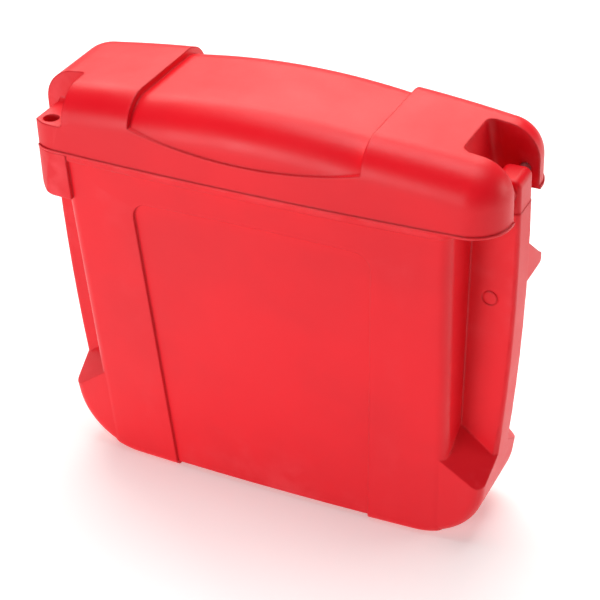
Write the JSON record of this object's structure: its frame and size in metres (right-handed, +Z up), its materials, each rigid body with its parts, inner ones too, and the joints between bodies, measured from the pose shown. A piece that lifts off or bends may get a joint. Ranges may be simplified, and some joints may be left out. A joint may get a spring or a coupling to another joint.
{
  "type": "attached lid document box",
  "caption": "Slim upright plastic storage box with an attached crowned lid that swings up about a pin at one end and a padlock lug at the other.",
  "frame": {"origin": "on the ground under the centre of the body, midway between the two end slabs and midway front to back", "axes": "+Z up, front faces -Y, +X along the length towards the hinge end, so the padlock lug is at -X"},
  "size_m": [0.3751, 0.124, 0.336],
  "materials": {
    "red_plastic": "fine grain, satin",
    "pin_steel": "ground",
    "seal_rubber": "matt foam rubber"
  },
  "bodies": {
    "tub": {"body": "red_plastic", "hinge_pin": "pin_steel"},
    "cover": {"lid": "red_plastic", "lid_seal": "seal_rubber"}
  },
  "joints": [
    {"name": "lid_hinge", "type": "hinge", "parent": "tub", "child": "cover", "pos_m": [0.1765, 0, 0.295], "axis": [0, 1, 0], "range_deg": [0, 195]}
  ]
}
